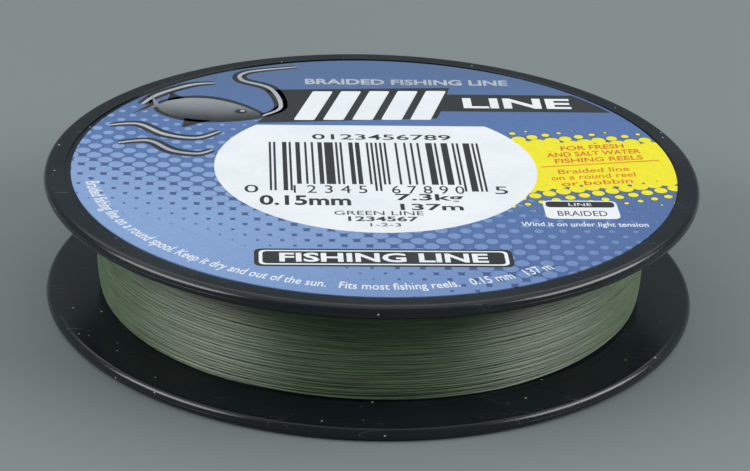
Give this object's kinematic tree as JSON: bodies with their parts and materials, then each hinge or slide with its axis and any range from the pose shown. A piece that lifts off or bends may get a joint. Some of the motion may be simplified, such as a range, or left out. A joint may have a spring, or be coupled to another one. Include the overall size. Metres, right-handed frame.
{
  "type": "fishing line spool",
  "caption": "Flat round retail spool of braided fishing line, with snap-fitted flanges, a ribbed drum with a spindle bore, tape tabs and printed round labels.",
  "frame": {"origin": "centre of the face that the spool rests on, on the spool's axis", "axes": "+Z along the spool's axis, out of the upper label; +X the reading direction of the upper label; +Y towards the label's top edge"},
  "size_m": [0.076, 0.076, 0.0158],
  "materials": {
    "black_plastic": "glossy moulded black, lightly dusty",
    "braided_line": "waxy moss-green braid, satin",
    "tape": "satin film",
    "printed_label": "coated print, semi-gloss"
  },
  "bodies": {
    "root": {"lower_flange": "black_plastic", "upper_flange": "black_plastic", "drum": "black_plastic", "line_winding": "braided_line", "starter_tape": "tape", "end_tape": "tape", "lower_label": "printed_label", "upper_label": "printed_label"}
  },
  "joints": []
}
